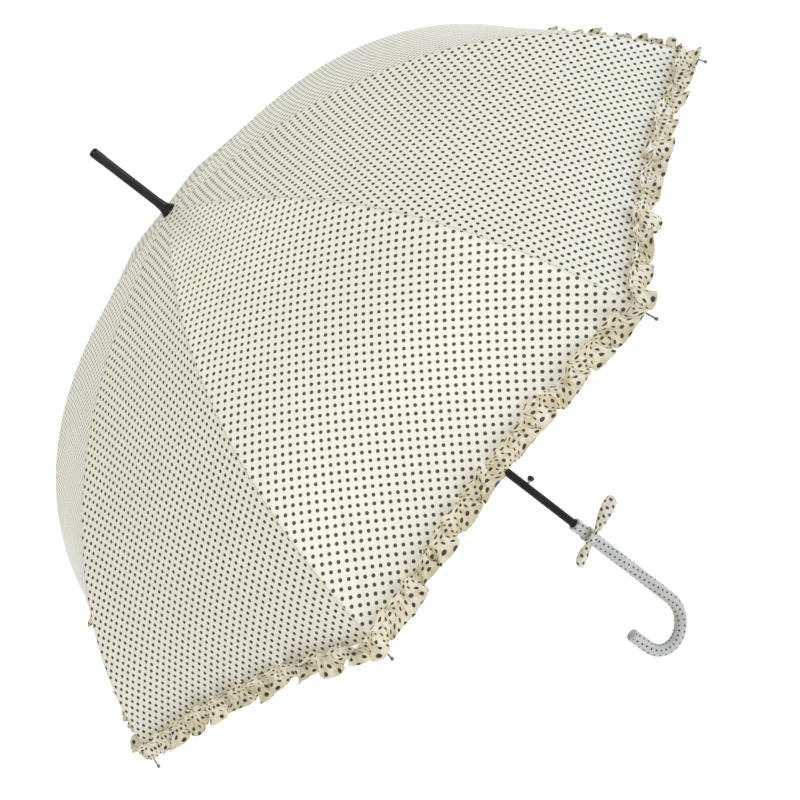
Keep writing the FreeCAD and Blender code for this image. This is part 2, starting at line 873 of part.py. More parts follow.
def gore_shape(first, last, low, high):
    """A thin roof over one rib, from one mid-gore line to the other, between two heights."""
    rails = {}
    for side in (-1, 0, 1):
        for lift in (low, high):
            curve = Part.BSplineCurve()
            curve.interpolate([gore_point(place, lift, side) for place in rib_places(first, last, 12)])
            rails[side, lift] = curve.toShape()
    faces = []
    for side in (-1, 1):
        for lift in (low, high):
            faces.append(Part.makeRuledSurface(rails[0, lift], rails[side, lift]))
        faces.append(Part.makeRuledSurface(rails[side, low], rails[side, high]))
        for place in (first, last):
            over_rib = Part.makeLine(gore_point(place, low, 0), gore_point(place, high, 0))
            mid_gore = Part.makeLine(gore_point(place, low, side), gore_point(place, high, side))
            faces.append(Part.makeRuledSurface(over_rib, mid_gore))
    sewn = Part.makeShell(faces)
    sewn.sewShape()
    solid = Part.makeSolid(sewn.Shells[0])
    if solid.Volume < 0:
        solid.reverse()
    return solid


def make_ribs():
    rib = rib_shape()
    low = size("canopy_lift")
    high = low + size("canopy_thickness")
    canopy = gore_shape(size("canopy_start"), size("rib_length"), low, high)
    ruffle_start = size("rib_length") - size("ruffle_above")
    ruffle_end = size("rib_length") + size("ruffle_below")
    ruffle_low = size("ruffle_lift")
    ruffle_high = ruffle_low + size("ruffle_thickness")
    ruffle = gore_shape(ruffle_start, ruffle_end, ruffle_low, ruffle_high)
    for number in range(int(size("rib_count"))):
        facing = rib_facing(number)
        shaped("rib_%d" % (number + 1), rib, facing)
        make_rib_tip(number, "rib_tip_%d" % (number + 1))
        make_stretcher(number, "stretcher_%d" % (number + 1))
        shaped("canopy_panel_%d" % (number + 1), canopy, facing)
        shaped("ruffle_%d" % (number + 1), ruffle, facing)


# ---------------------------------------------------------------- the linkage's derived sizes


def add_linkage_sizes():
    """The stretcher is as long as the rib from its pivot to the lug, so the two fold alike."""
    lug = rib_point(size("lug_place"), -size("lug_drop"))
    across = lug.x - size("pivot_radius")
    down = size("pivot_height") - lug.z
    length = math.hypot(across, down)
    rise = math.degrees(math.atan2(down, across))
    closed = math.radians(rise + size("fold_angle"))
    runner_pivot = size("pivot_height") - 2 * down
    closed_pivot = size("pivot_height") - 2 * length * math.sin(closed)
    lip_bottom = size("catch_hook") - size("latch_gap") - size("runner_lip")
    runner_length = closed_pivot - lip_bottom
    top_catch_height = runner_pivot - runner_length - size("latch_gap")
    derived = {
        "stretcher_length": length,
        "stretcher_rise": rise,
        "runner_pivot": runner_pivot,
        "runner_length": runner_length,
        "top_catch_height": top_catch_height,
        "lower_rivet_height": size("catch_hook") - size("catch_pin_below"),
        "top_rivet_height": top_catch_height - size("top_catch_pin_below"),
    }
    for alias, value in derived.items():
        add_size(alias, round(value, 4))
        print("derived %s %.4f" % (alias, value))
    print("lug pivot %.4f %.4f" % (lug.x, lug.z))
    doc.recompute()


def check_and_write():
    doc.recompute()
    for item in doc.Objects:
        if "Invalid" in item.State or "Error" in item.State:
            raise RuntimeError(item.Label + " failed: " + ", ".join(item.State))
    labels = [part.Label for part in parts]
    if len(set(labels)) != len(labels):
        raise RuntimeError("two sub-parts share a label")
    for part in parts:
        shape = part.Shape
        if shape.isNull() or not shape.isValid() or not shape.Solids:
            raise RuntimeError(part.Label + " has no valid solid")
    os.makedirs("parts", exist_ok=True)
    for part in parts:
        part.Shape.exportStep("parts/%s.step" % part.Label)
        print("%-18s %10.1f mm3  solids %d" % (part.Label, part.Shape.Volume, len(part.Shape.Solids)))


for size_name, size_value in SIZES.items():
    add_size(size_name, size_value)
doc.recompute()
add_linkage_sizes()
make_shaft()
make_rivet("lower_catch_rivet", "dims.lower_rivet_height")
make_rivet("upper_catch_rivet", "dims.top_rivet_height")
make_ferrule()
make_canopy_cap()
make_top_notch()
make_runner()
make_catches()
make_push_button()
make_handle()
make_bow()
make_ribs()
check_and_write()
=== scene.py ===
"""The looks of an open stick umbrella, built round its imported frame: satin canopy, gathered ruffle,
bow, printed handle wrap, and the finishes of the metal and plastic parts. Metres, in the frame's axes."""
import json
import math

import bpy
import numpy as np
from mathutils import Matrix, Vector


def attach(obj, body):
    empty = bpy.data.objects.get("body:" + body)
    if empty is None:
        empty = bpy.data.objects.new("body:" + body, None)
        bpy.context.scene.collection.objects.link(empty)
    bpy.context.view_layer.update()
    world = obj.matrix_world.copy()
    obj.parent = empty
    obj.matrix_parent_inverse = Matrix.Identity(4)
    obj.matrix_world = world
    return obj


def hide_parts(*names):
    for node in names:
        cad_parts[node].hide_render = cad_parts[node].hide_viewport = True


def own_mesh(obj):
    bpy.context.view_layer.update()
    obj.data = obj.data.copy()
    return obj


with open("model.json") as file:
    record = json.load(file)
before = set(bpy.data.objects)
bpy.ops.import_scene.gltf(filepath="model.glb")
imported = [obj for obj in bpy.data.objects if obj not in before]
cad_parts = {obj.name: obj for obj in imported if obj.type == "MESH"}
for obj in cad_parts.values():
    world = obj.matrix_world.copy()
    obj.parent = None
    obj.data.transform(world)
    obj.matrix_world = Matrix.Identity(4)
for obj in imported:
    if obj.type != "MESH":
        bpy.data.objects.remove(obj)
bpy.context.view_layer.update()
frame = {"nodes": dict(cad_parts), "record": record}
MM = 0.001

# ------------------------------------------------------------------ the frame's own sizes
RIBS = 8
HALF_GORE = math.pi / RIBS
PIVOT = (8.5 * MM, 696 * MM)
RIB_LENGTH = 585 * MM
SLOPE_START, SLOPE_TURN, SLOPE_POWER = 6.0, 62.5, 1.5

TABLE_STEP = 1 * MM
TABLE_FIRST, TABLE_LAST = -10, 620
_places = np.arange(TABLE_FIRST, TABLE_LAST + 1) * TABLE_STEP


def rib_slope(place):
    """The rib's slope below level, in radians, at a length along it."""
    share = np.clip(place, 0, None) / RIB_LENGTH
    return np.radians(SLOPE_START + SLOPE_TURN * share**SLOPE_POWER)


def _rib_table():
    """The rib's middle line as a table: the distance from the axis and the height at each place."""
    middle = rib_slope(_places[:-1] + TABLE_STEP / 2)
    across = np.concatenate([[0], np.cumsum(np.cos(middle))]) * TABLE_STEP
    down = np.concatenate([[0], np.cumsum(np.sin(middle))]) * TABLE_STEP
    zero = -TABLE_FIRST
    return PIVOT[0] + across - across[zero], PIVOT[1] - down + down[zero]


RIB_X, RIB_Z = _rib_table()


def rib_at(place, lift):
    """(distance from the axis, height) of a point over the rib's middle line."""
    slope = rib_slope(place)
    x = np.interp(place, _places, RIB_X)
    z = np.interp(place, _places, RIB_Z)
    return x + lift * np.sin(slope), z + lift * np.cos(slope)


# ------------------------------------------------------------------ the cloth's shape
CLOTH_LIFT = 2.3 * MM
HEM_INSET = 12 * MM
SAG = 7 * MM
SAG_AT = 200 * MM
GORE_SAG = {7: 0.5 * MM}
CANOPY_START = -0.2 * MM
CROWN_LIFT, CROWN_REACH = 1.05 * MM, 9 * MM
CANOPY_END = RIB_LENGTH - 10.5 * MM
CANOPY_ROWS = 150
HALF_COLUMNS = 44
CROWN_CROWDING, RIB_CROWDING = 1.04, 1.35
GORE_THICKNESS, STRIP_THICKNESS, RIBBON_THICKNESS = 0.25 * MM, 0.22 * MM, 0.35 * MM
CREASES_PER_TIP = 7
# each crease: its angle from the rib and its spread in radians, its reach in metres, its height in mm
CREASE_ANGLES, CREASE_SPREADS, CREASE_REACHES = (0.12, 1.25), (0.035, 0.085), (0.045, 0.17)
CREASE_HEIGHTS = (-1.5, 1.5)
# a crease reaches its full height this far from the rib tip, and this angle from the rib
CREASE_START, CREASE_OFF_RIB = 40 * MM, 0.10
SLACK_WAVE, RIPPLE, RIPPLE_LENGTH = 1.1 * MM, 0.8 * MM, 50 * MM
PUCKER, PUCKER_WIDTH, PUCKER_LENGTH, PUCKER_START = 0.22 * MM, 9 * MM, 1.7 * MM, 60 * MM
PHASES = (0, 6.28)
# the wrinkles fade out beside the rib, over this share of the half gore
RIB_FADE = 0.02


def smooth_noise(count, seed, wavelength, length):
    """A closed one-line noise of unit size whose bumps are about a wavelength long."""
    draws = np.random.default_rng(seed)
    waves = max(3, int(length / wavelength * 1.6))
    at = np.linspace(0, 2 * np.pi, count)
    total = np.zeros(count)
    for wave in range(1, waves + 1):
        weight = math.exp(-((wave - length / wavelength) ** 2) / (0.5 * (length / wavelength) ** 2 + 1))
        total += weight * draws.normal() * np.cos(wave * at) + weight * draws.normal() * np.sin(wave * at)
    return total / (np.abs(total).max() + 1e-9)


class Gore:
    """The free wrinkles of one gore: creases that run in from its two rib tips, and broad slack waves."""

    def __init__(self, number):
        self.sag = GORE_SAG.get(number, SAG)
        draws = np.random.default_rng(100 + number)
        phases = draws.uniform(*PHASES, 6)
        self.slack_phase, self.ripple_phase, self.pucker_phase = phases[2], phases[3], phases[5]
        self.slack_size = draws.uniform(0.7, 1.3, 3)[2]
        self.creases = [
            (side, draws.uniform(*CREASE_ANGLES), draws.uniform(*CREASE_SPREADS),
             draws.uniform(*CREASE_REACHES), draws.uniform(*CREASE_HEIGHTS) * MM)
            for side in (-1, 1) for _ in range(CREASES_PER_TIP)]

    def height(self, place, across, width):
        """The cloth's height off its even shape, where across runs from -1 to 1 over the gore."""
        total = np.zeros_like(place)
        for side, direction, spread, reach, size in self.creases:
            aside = np.abs((across - side) * width)
            inward = RIB_LENGTH - place
            far = np.hypot(aside, inward) + 1e-6
            angle = np.arctan2(aside, inward)
            start = np.clip(far / CREASE_START, 0, 1) * np.clip(angle / CREASE_OFF_RIB, 0, 1)
            ridge = np.exp(-((angle - direction) / spread) ** 2) * np.exp(-((far / reach) ** 2))
            total += size * ridge * start
        edge = np.clip(1 - across**2, 0, 1)
        share = place / RIB_LENGTH
        slack = SLACK_WAVE * self.slack_size * np.sin(across * 4 + self.slack_phase)
        ripple = RIPPLE * np.sin(place / RIPPLE_LENGTH + across * 3 + self.ripple_phase)
        total += edge * (slack * share**2 + ripple * share**3)
        beside_rib = np.exp(-((1 - np.abs(across)) * width / PUCKER_WIDTH) ** 2)
        pucker = PUCKER * np.sin(place / PUCKER_LENGTH + self.pucker_phase)
        total += beside_rib * pucker * np.clip(place / PUCKER_START, 0, 1)
        return total


GORES = [Gore(number) for number in range(RIBS)]


def cloth_point(kite, place, f, lift=CLOTH_LIFT, wrinkles=True):
    """Points of the canopy over one rib, in that rib's frame. f runs from -1 to 1, mid-gore to mid-gore."""
    reach = np.abs(f)
    slack = 1 - (1 - reach) ** 2
    along = place - HEM_INSET * slack * np.clip(place / RIB_LENGTH, 0, None)
    radius, height = rib_at(along, lift + CROWN_LIFT * np.exp(-((place / CROWN_REACH) ** 2)))
    width = radius * math.sin(HALF_GORE)
    # the chord from this rib towards the next one
    x = radius - reach * width * math.sin(HALF_GORE)
    y = np.sign(f) * reach * width * math.cos(HALF_GORE)
    z = height.copy()
    slope = rib_slope(along)
    sag = np.where(f >= 0, GORES[kite % RIBS].sag, GORES[(kite - 1) % RIBS].sag)
    depth = sag * (width / SAG_AT) ** 2 * slack
    if wrinkles:
        to_right = GORES[kite % RIBS].height(place, -(1 - reach), width)
        to_left = GORES[(kite - 1) % RIBS].height(place, 1 - reach, width)
        depth = depth - np.where(f >= 0, to_right, to_left) * np.clip(reach / RIB_FADE, 0, 1)
    lean = reach * HALF_GORE
    x = x - depth * np.sin(slope) * np.cos(lean)
    y = y - depth * np.sin(slope) * np.sin(lean) * np.sign(f)
    z = z - depth * np.cos(slope)
    return np.stack([x, y, z], -1)


def turn_to(points, kite):
    """Points of the first rib's frame, turned about the shaft to another rib."""
    angle = 2 * HALF_GORE * kite
    c, s = math.cos(angle), math.sin(angle)
    turned = points.copy()
    turned[..., 0] = points[..., 0] * c - points[..., 1] * s
    turned[..., 1] = points[..., 0] * s + points[..., 1] * c
    return turned


def mid_gore_length(place):
    """The cloth's length along the middle of a gore, from the crown to that place."""
    samples = np.linspace(0, RIB_LENGTH * 1.05, 400)
    line = cloth_point(0, samples, np.ones_like(samples), wrinkles=False)
    steps = np.linalg.norm(np.diff(line, axis=0), axis=1)
    return np.interp(place, samples, np.concatenate([[0], np.cumsum(steps)]))


# ------------------------------------------------------------------ meshes
def grid_piece(name, points, uv_sets, materials):
    """A mesh from rows and columns of points. Each UV set is a function of the two grid places."""
    rows, columns = points.shape[:2]
    faces, corners = [], []
    for row in range(rows - 1):
        for column in range(columns - 1):
            ring = ((row, column), (row + 1, column), (row + 1, column + 1), (row, column + 1))
            corners.append(ring)
            faces.append([at_row * columns + at_column for at_row, at_column in ring])
    mesh = bpy.data.meshes.new(name)
    mesh.from_pydata([tuple(point) for point in points.reshape(-1, 3)], [], faces)
    at = np.array(corners).reshape(-1, 2)
    first_column = np.repeat(np.array([ring[0][1] for ring in corners]), 4)
    for set_name, values in uv_sets.items():
        layer = mesh.uv_layers.new(name=set_name)
        uv = values(at[:, 0], at[:, 1], first_column)
        layer.data.foreach_set("uv", uv.astype(np.float32).ravel())
    mesh.polygons.foreach_set("use_smooth", [True] * len(faces))
    mesh.update()
    # the open edges are sharp, so that a thickened sheet keeps its smooth faces
    uses = np.zeros(len(mesh.edges), dtype=int)
    loop_edges = np.zeros(len(mesh.loops), dtype=int)
    mesh.loops.foreach_get("edge_index", loop_edges)
    np.add.at(uses, loop_edges, 1)
    mesh.edges.foreach_set("use_edge_sharp", uses < 2)
    piece = bpy.data.objects.new(name, mesh)
    bpy.context.scene.collection.objects.link(piece)
    for material in materials:
        mesh.materials.append(material)
    return piece


def thicken(piece, thickness, inside=0):
    """Give a sheet its thickness, on its inner side."""
    solid = piece.modifiers.new("thickness", "SOLIDIFY")
    solid.thickness = thickness
    solid.offset = -1
    solid.use_even_offset = False
    solid.material_offset = inside
    return piece


# ------------------------------------------------------------------ materials
class Finish:
    """A material under construction: its nodes are added one at a time and linked by socket."""

    def __init__(self, name):
        self.material = bpy.data.materials.new(name)
        self.material.use_nodes = True
        self.tree = self.material.node_tree
        self.shader = self.tree.nodes["Principled BSDF"]

    def node(self, kind, inputs=None, **settings):
        made = self.tree.nodes.new(kind)
        for key, value in settings.items():
            setattr(made, key, value)
        for key, value in (inputs or {}).items():
            self.put(made.inputs[key], value)
        return made

    def put(self, socket, value):
        if isinstance(value, bpy.types.NodeSocket):
            self.tree.links.new(value, socket)
        else:
            socket.default_value = value

    def math(self, operation, a, b=0.0):
        return self.node("ShaderNodeMath", {0: a, 1: b}, operation=operation).outputs[0]

    def ramp(self, value, low, high, out_low=0.0, out_high=1.0):
        made = self.node("ShaderNodeMapRange", {0: value, 1: low, 2: high, 3: out_low, 4: out_high})
        return made.outputs[0]

    def mix(self, factor, a, b):
        made = self.node("ShaderNodeMix", data_type="RGBA")
        self.put(made.inputs[0], factor)
        for socket, colour in ((made.inputs[6], a), (made.inputs[7], b)):
            self.put(socket, colour if isinstance(colour, bpy.types.NodeSocket) else (*colour, 1))
        return made.outputs[2]

    def noise(self, scale, detail=2.0, roughness=0.5, vector=None):
        made = self.node("ShaderNodeTexNoise", {"Scale": scale, "Detail": detail, "Roughness": roughness})
        self.put(made.inputs["Vector"], vector or self.place())
        return made.outputs[0]

    def place(self):
        return self.node("ShaderNodeTexCoord").outputs["Object"]

    def uv(self, name):
        return self.node("ShaderNodeUVMap", uv_map=name).outputs[0]

    def bump(self, heights):
        """Bumps in metres, laid one over another: (height, distance) pairs."""
        normal = None
        for height, distance in heights:
            made = self.node("ShaderNodeBump", {"Height": height, "Distance": distance, "Strength": 1.0})
            if normal:
                self.put(made.inputs["Normal"], normal)
            normal = made.outputs[0]
        self.put(self.shader.inputs["Normal"], normal)

    def set(self, **inputs):
        for key, value in inputs.items():
            self.put(self.shader.inputs[key.replace("_", " ")], value)
        return self.material

    def vector(self, operation, a, b=(0, 0, 0)):
        return self.node("ShaderNodeVectorMath", {0: a, 1: b}, operation=operation).outputs[0]

    def flat_length(self, vector):
        """The length of a vector seen along z."""
        flat = self.vector("MULTIPLY", vector, (1, 1, 0))
        return self.node("ShaderNodeVectorMath", {0: flat}, operation="LENGTH").outputs["Value"]

    def dots(self, vector, pitch, radius, turn, soften=0.06):
        """1 inside the printed dots of a square lattice, whose pitch and dot radius are in metres."""
        scale = (1 / pitch, 1 / pitch, 1)
        grown = self.node("ShaderNodeMapping", {"Vector": vector, "Rotation": (0, 0, turn), "Scale": scale})
        wobble = self.node("ShaderNodeTexNoise", {"Vector": grown.outputs[0], "Scale": 1.1, "Detail": 1.0})
        cell = self.vector("FRACTION", grown.outputs[0])
        far = self.flat_length(self.vector("SUBTRACT", cell, (0.5, 0.5, 0)))
        rim = self.ramp(wobble.outputs[0], 0.3, 0.7, radius / pitch * 0.93, radius / pitch * 1.07)
        return self.ramp(self.math("SUBTRACT", far, rim), -soften / 2, soften / 2, 1.0, 0.0)


INK = (0.013, 0.012, 0.011)
DOT_PITCH = 7.42 * MM
DOT_RADIUS = 1.77 * MM
DOT_TURN = math.radians(42.25)
WRAP_DOT_PITCH, WRAP_DOT_RADIUS, WRAP_DOT_TURN = 7.3 * MM, 1.4 * MM, math.radians(8)
STITCH_LENGTH, STITCH_OFF_SEAM = 2.6 * MM, 2.1 * MM
SEAM_SHADE, THREAD_SHADE = (0.50, 0.40, 0.24), (0.55, 0.47, 0.31)
BUTTON_HEAD_START = 8.5 * MM


def satin(name, tone_a, tone_b, ink=INK, ink_strength=1.0, seam=True, painted_fold_shade=None):
    """Printed polyester satin: cream ground, black dots, a fine diagonal twill, seams with stitches; given
    a painted fold shade colour, it also gets random darker tan patches of painted shade.
    """
    f = Finish(name)
    cloth = f.uv("cloth")
    cloudy = f.ramp(f.noise(11, 3), 0.35, 0.65)
    ground = f.mix(cloudy, tone_a, tone_b)
    if painted_fold_shade:
        # painted shade: noise patches darkened towards a tan colour stand in for the shade deep in the
        # folds
        folds = f.ramp(f.noise(70, 2.5, 0.6), 0.42, 0.62)
        ground = f.mix(folds, ground, painted_fold_shade)
    fibre = f.node("ShaderNodeMapping", {"Vector": cloth, "Scale": (900, 260, 1)})
    thread = f.noise(1.0, 2, 0.6, fibre.outputs[0])
    ground = f.mix(f.ramp(thread, 0.3, 0.7, 0.0, 0.10), ground, tuple(c * 0.72 for c in tone_a))
    dots = f.math("MULTIPLY", f.dots(cloth, DOT_PITCH, DOT_RADIUS, DOT_TURN), ink_strength)
    heights = [(thread, 0.06 * MM)]
    if seam:
        lines = f.uv("seam")
        parts = f.node("ShaderNodeSeparateXYZ", {0: lines})
        off = f.math("ABSOLUTE", parts.outputs[0])
        gutter = f.ramp(off, 0.2 * MM, 0.7 * MM, 1.0, 0.0)
        stitch_at = f.math("FRACT", f.math("MULTIPLY", parts.outputs[1], 1 / STITCH_LENGTH))
        dash = f.math("MULTIPLY", f.ramp(stitch_at, 0.60, 0.68, 1.0, 0.0), f.ramp(stitch_at, 0.0, 0.06))
        off_row = f.math("ABSOLUTE", f.math("SUBTRACT", off, STITCH_OFF_SEAM))
        row = f.math("MULTIPLY", f.ramp(off_row, 0.18 * MM, 0.34 * MM, 1.0, 0.0), dash)
        dots = f.math("MULTIPLY", dots, f.ramp(off, 0.3 * MM, 0.8 * MM))
        ground = f.mix(f.math("MULTIPLY", gutter, 0.45), ground, SEAM_SHADE)
        ground = f.mix(f.math("MULTIPLY", row, 0.4), ground, THREAD_SHADE)
        heights += [(gutter, -0.3 * MM), (row, 0.12 * MM)]
    f.bump(heights)
    rough = f.ramp(thread, 0.3, 0.7, 0.36, 0.47)
    rough = f.math("ADD", rough, f.math("MULTIPLY", dots, 0.12))
    along_cloth = f.node("ShaderNodeTangent", direction_type="UV_MAP", uv_map="cloth")
    f.put(f.shader.inputs["Tangent"], along_cloth.outputs[0])
    return f.set(
        Base_Color=f.mix(dots, ground, ink), Roughness=rough, Specular_IOR_Level=0.85,
        Anisotropic=0.75, Anisotropic_Rotation=0.25, Sheen_Weight=0.1, Sheen_Roughness=0.35)


def printed_film():
    """The handle's printed wrap: pale grey with the same dots as the canopy, under a clear glossy skin."""
    f = Finish("handle_print")
    skin = f.uv("cloth")
    ground = f.mix(f.ramp(f.noise(45, 3), 0.35, 0.65), (0.47, 0.475, 0.47), (0.53, 0.53, 0.52))
    dots = f.dots(skin, WRAP_DOT_PITCH, WRAP_DOT_RADIUS, WRAP_DOT_TURN)
    sides = f.node("ShaderNodeSeparateXYZ", {0: f.uv("seam")})
    lap = f.ramp(f.math("ABSOLUTE", sides.outputs[0]), 0.3 * MM, 0.6 * MM, 1.0, 0.0)
    ground = f.mix(f.math("MULTIPLY", lap, 0.5), ground, (0.30, 0.29, 0.26))
    f.bump([(f.noise(160, 2), 0.22 * MM), (f.noise(900, 2), 0.04 * MM), (lap, -0.2 * MM)])
    rough = f.ramp(f.noise(90, 3), 0.3, 0.7, 0.22, 0.34)
    return f.set(Base_Color=f.mix(dots, ground, INK), Roughness=rough, Coat_Weight=0.5, Coat_Roughness=0.12)


def hard(name, colour, rough, wear, grain=220.0, depth=0.03 * MM, stretch=(1, 1, 1),
         metallic=0.0, coat=0.0, specular=0.5):
    """Metal, paint or moulded plastic: slight colour change, a rubbed finish and a fine surface grain."""
    f = Finish(name)
    place = f.node("ShaderNodeMapping", {"Vector": f.place(), "Scale": stretch}).outputs[0]
    fine = f.noise(grain, 3, 0.6, place)
    broad = f.noise(38, 3, 0.55)
    ground = f.mix(f.ramp(broad, 0.35, 0.68), colour, tuple(min(1, c * 1.35 + 0.004) for c in colour))
    rubbed = f.ramp(f.math("MULTIPLY", f.ramp(fine, 0.50, 0.72), f.ramp(broad, 0.5, 0.7)), 0.2, 0.9)
    ground = f.mix(f.math("MULTIPLY", rubbed, 0.5), ground, wear)
    f.bump([(fine, depth)])
    return f.set(
        Base_Color=ground, Roughness=f.ramp(fine, 0.3, 0.7, rough * 0.8, rough * 1.25),
        Metallic=metallic, Coat_Weight=coat, Coat_Roughness=0.08, Specular_IOR_Level=specular)


CREAM, CREAM_WARM = (0.795, 0.775, 0.645), (0.78, 0.755, 0.62)
SATIN_OUT = satin("canopy_satin", CREAM, CREAM_WARM)
SATIN_IN = satin("canopy_satin_inside", (0.76, 0.73, 0.62), (0.73, 0.70, 0.59), (0.20, 0.19, 0.17), 0.85)
# the ruffle and the bow get random tan patches of painted fold shade
RUFFLE = satin(
    "ruffle_satin", (0.785, 0.74, 0.575), (0.745, 0.69, 0.515), seam=False, painted_fold_shade=(0.60, 0.53, 0.33))
BOW = satin("bow_satin", (0.70, 0.67, 0.56), (0.67, 0.63, 0.51), seam=False, painted_fold_shade=(0.58, 0.53, 0.40))
PRINT = printed_film()
FINISHES = {
    "shaft_paint": hard(
        "shaft_paint", (0.005, 0.005, 0.006), 0.34, wear=(0.012, 0.012, 0.014),
        stretch=(1, 1, 0.08), specular=0.16),
    "ferrule_metal": hard(
        "ferrule_metal", (0.024, 0.023, 0.023), 0.10, wear=(0.05, 0.05, 0.05),
        depth=0.005 * MM, stretch=(1, 1, 0.06), metallic=1.0),
    "frame_paint": hard(
        "frame_paint", (0.016, 0.016, 0.018), 0.38, wear=(0.12, 0.12, 0.12), grain=400, coat=0.15),
    "tip_steel": hard(
        "tip_steel", (0.19, 0.185, 0.18), 0.30, wear=(0.4, 0.4, 0.4), grain=600, metallic=1.0),
    "wire_steel": hard(
        "wire_steel", (0.55, 0.55, 0.56), 0.26, wear=(0.3, 0.3, 0.3), grain=600,
        stretch=(1, 1, 0.2), metallic=1.0),
    "black_plastic": hard(
        "black_plastic", (0.006, 0.006, 0.007), 0.3, wear=(0.014, 0.014, 0.014), grain=500,
        depth=0.05 * MM, specular=0.22),
    "handle_body": hard(
        "handle_body", (0.50, 0.49, 0.45), 0.5, wear=(0.42, 0.41, 0.38), grain=260),
}


def button_finish():
    """The push button: a black moulded head on a bright steel stem, told apart by how far out they are."""
    f = Finish("push_button")
    out = f.flat_length(f.place())
    head = f.ramp(out, BUTTON_HEAD_START - 0.05 * MM, BUTTON_HEAD_START + 0.05 * MM)
    fine = f.noise(500, 3, 0.6)
    grain = f.ramp(fine, 0.35, 0.68)
    moulded = f.mix(grain, (0.006, 0.006, 0.007), (0.014, 0.014, 0.014))
    steel = f.mix(grain, (0.55, 0.55, 0.56), (0.42, 0.42, 0.42))
    f.bump([(fine, 0.05 * MM)])
    rough = f.ramp(fine, 0.3, 0.7, 0.24, 0.38)
    metallic = f.math("SUBTRACT", 1.0, head)
    return f.set(Base_Color=f.mix(head, steel, moulded), Metallic=metallic, Roughness=rough)


SLOT_OF = {row["node"]: row["material_slot"] for row in frame["record"]["subparts"]}
for node_name, node in frame["nodes"].items():
    finish = FINISHES.get(SLOT_OF[node_name])
    if finish:
        node.data.materials.clear()
        node.data.materials.append(button_finish() if node_name == "push_button" else finish)


# ------------------------------------------------------------------ canopy
def canopy_grid():
    """Lengths along the rib and shares across the kite, closer together near the crown and the rib."""
    place = CANOPY_START + (CANOPY_END - CANOPY_START) * np.linspace(0, 1, CANOPY_ROWS) ** CROWN_CROWDING
    half = np.linspace(0, 1, HALF_COLUMNS) ** RIB_CROWDING
    f = np.concatenate([-half[:0:-1], half])
    grid_place, grid_f = np.meshgrid(place, f, indexing="ij")
    return grid_place, grid_f


def make_canopy(kite):
    """One kite of the canopy: the half gores on both sides of a rib, in one sheet."""
    place, f = canopy_grid()
    points = cloth_point(kite, place, f)
    middle = mid_gore_length(place)
    radius, _ = rib_at(place - HEM_INSET * place / RIB_LENGTH, CLOTH_LIFT)
    off_middle = (1 - np.abs(f)) * radius * math.sin(HALF_GORE)
    centre = (f.shape[1] - 1) // 2

    def cloth_uv(row, column, first_column):
        side = np.where(first_column >= centre, -1.0, 1.0)
        return np.stack([side * off_middle[row, column], middle[row, column]], -1)

    def seam_uv(row, column, first_column):
        off_rib = f[row, column] * radius[row, column] * math.sin(HALF_GORE)
        return np.stack([off_rib, place[row, column]], -1)

    uv_sets = {"cloth": cloth_uv, "seam": seam_uv}
    piece = grid_piece(f"canopy_gore_{kite + 1}", turn_to(points, kite), uv_sets, [SATIN_OUT, SATIN_IN])
    thicken(piece, GORE_THICKNESS, inside=1)
    return piece


def fold_with_rib(piece, body):
    """Cloth that swings down with its rib: it rides on the rib's body, with a mesh of its own."""
    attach(piece, body)
    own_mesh(piece)


for kite in range(RIBS):
    gore = make_canopy(kite)
    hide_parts(f"canopy_panel_{kite + 1}")
    fold_with_rib(gore, f"rib_{kite + 1}")


# ------------------------------------------------------------------ ruffle
STITCH_AT = RIB_LENGTH - 7.5 * MM
RUFFLE_INNER, RUFFLE_OUTER = 12.5 * MM, 15.5 * MM
RUFFLE_WIDTH = RUFFLE_INNER + RUFFLE_OUTER
FULLNESS = 1.5
RUFFLE_ROWS = 15
LOBES = 0.36
RUFFLE_COLUMNS = 620
CRUMPLE_HEIGHT, FINE_HEIGHT = 1.9 * MM, 0.8 * MM
STRIP_LIFT, STRIP_CLEARANCE = 0.6 * MM, 0.1 * MM
# beside a rib, over these shares of the half gore, the strip keeps square to it and off its tip
SQUARE_TO_RIB, OFF_RIB_TIP = 0.05, 0.07
# the print starts at another place on each strip and each bow loop
STRIP_PRINT_SHIFT, LOOP_PRINT_SHIFT = 0.31, 0.4


def hem_line(kite, f):
    """Points of the hem in the kite's frame, with the directions out along the cloth and off it."""
    place = np.full_like(f, STITCH_AT)
    step = 2 * MM
    here = cloth_point(kite, place, f, wrinkles=False)
    out = cloth_point(kite, place + step, f, wrinkles=False) - here
    out /= np.linalg.norm(out, axis=1)[:, None]
    nudge = 0.002
    after = cloth_point(kite, place, np.clip(f + nudge, -1, 1), wrinkles=False)
    along = after - cloth_point(kite, place, np.clip(f - nudge, -1, 1), wrinkles=False)
    along /= np.linalg.norm(along, axis=1)[:, None]
    off = np.cross(along, -out)
    off /= np.linalg.norm(off, axis=1)[:, None]
    slope = rib_slope(place[0])
    rib_off = np.array([math.sin(slope), 0, math.cos(slope)])
    if off[len(off) // 4] @ rib_off < 0:
        off = -off
    near_rib = np.exp(-((f / SQUARE_TO_RIB) ** 2))[:, None]
    off = off * (1 - near_rib) + rib_off * near_rib
    off /= np.linalg.norm(off, axis=1)[:, None]
    along = np.cross(off, out)
    return here, out, off, along


def ring_length():
    """The stitch line over one kite: shares across it, and the length up to each."""
    f = np.linspace(-1, 1, 801)
    line = cloth_point(0, np.full_like(f, STITCH_AT), f, wrinkles=False)
    steps = np.linalg.norm(np.diff(line, axis=0), axis=1)
    return f, np.concatenate([[0], np.cumsum(steps)])


HEM_F, HEM_AT = ring_length()
KITE_HEM = HEM_AT[-1]
RING = KITE_HEM * RIBS
RING_COUNT = RUFFLE_COLUMNS * RIBS


